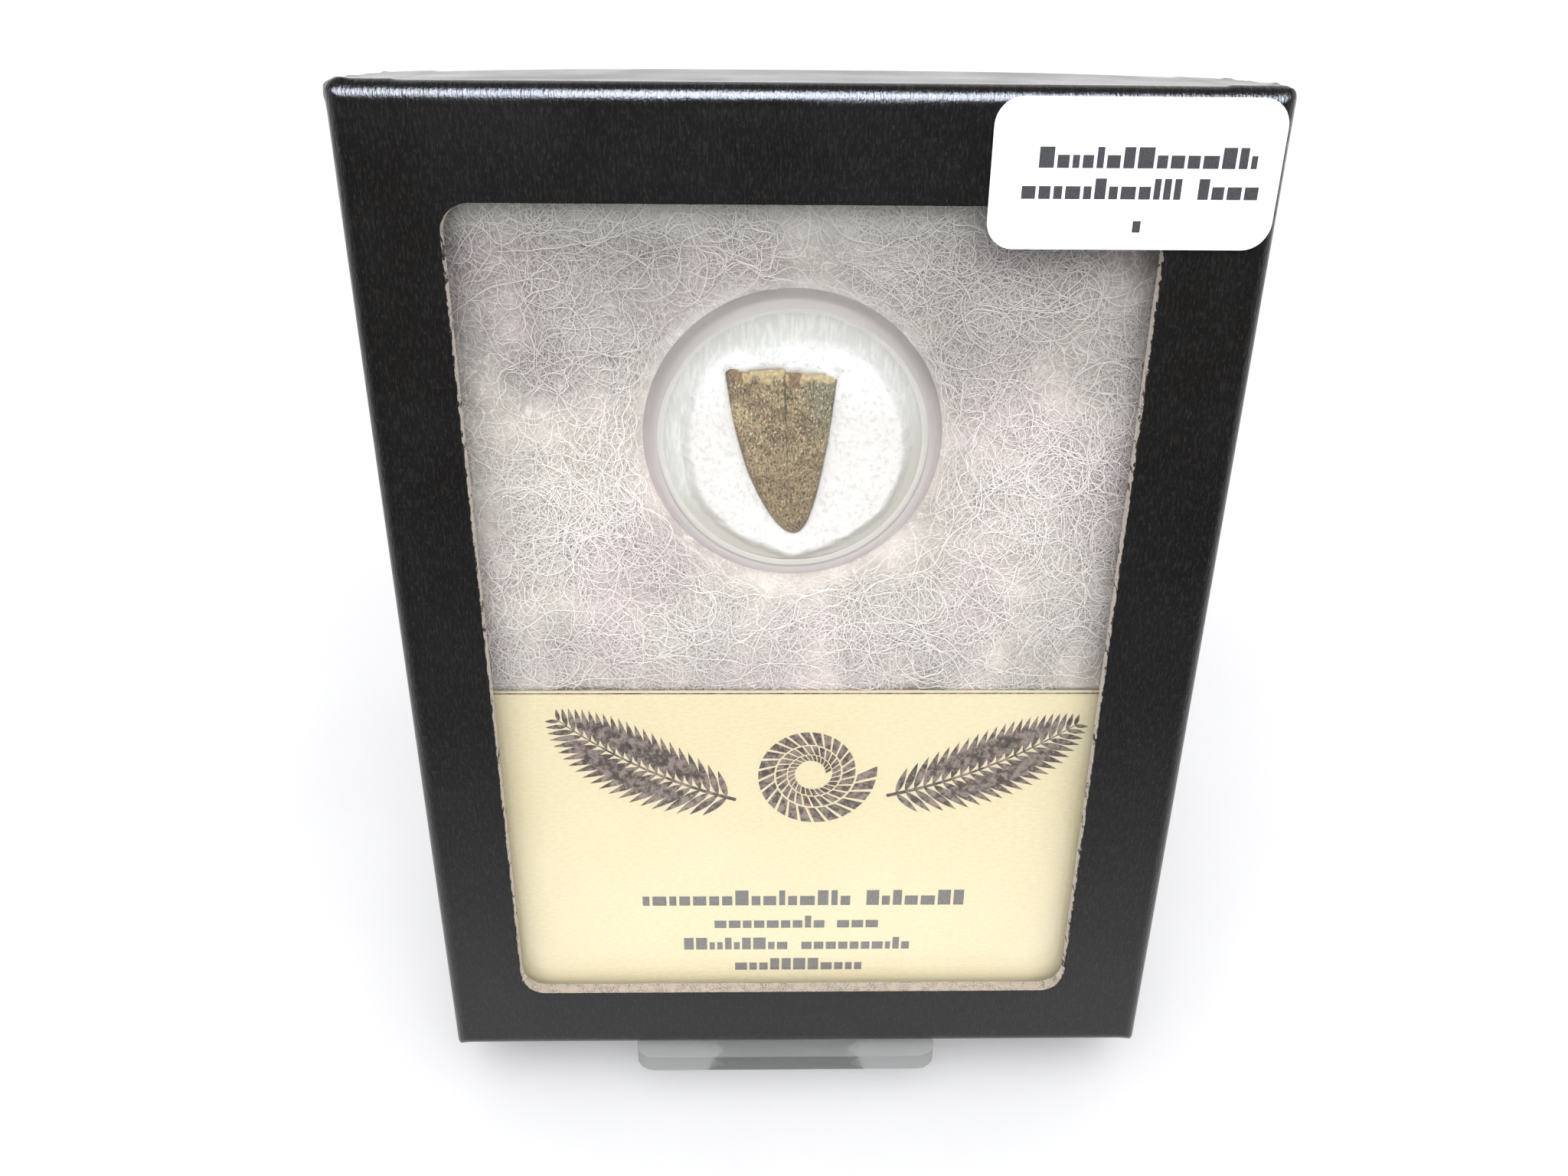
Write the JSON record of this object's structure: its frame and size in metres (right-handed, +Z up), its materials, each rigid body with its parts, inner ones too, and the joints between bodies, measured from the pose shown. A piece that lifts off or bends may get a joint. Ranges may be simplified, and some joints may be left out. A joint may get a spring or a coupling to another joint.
{
  "type": "fossil crocodile tooth display",
  "caption": "Fossil crocodile tooth set in white foam in a clear round jar, inside a black glazed cardboard box leaning back on a clear easel.",
  "frame": {"origin": "bottom centre of the bounding box, on the surface that the easel stands on", "axes": "+Z up, the box's face looks towards -Y and leans back by 20 degrees, +X to the viewer's right"},
  "size_m": [0.0826, 0.0612, 0.1113],
  "materials": {
    "black_paper": "black wrapping paper, semi-gloss, fine vertical grain",
    "window_glass": "clear, polished",
    "tray_board": "black paper over board",
    "wadding": "loose white polyester fibre",
    "cream_card": "smooth cream card with a printed vignette",
    "clear_jar": "clear moulded polystyrene",
    "white_foam": "white open-cell foam",
    "fossil_enamel": "speckled beige-grey fossil enamel",
    "white_sticker": "matt white label",
    "clear_acrylic": "clear acrylic, polished edges"
  },
  "bodies": {
    "root": {"lid": "black_paper", "glass": "window_glass", "tray": "tray_board", "batting": "wadding", "label_card": "cream_card", "jar_lid": "clear_jar", "jar_base": "clear_jar", "foam_insert": "white_foam", "tooth": "fossil_enamel", "sticker": "white_sticker", "easel": "clear_acrylic"}
  },
  "joints": []
}
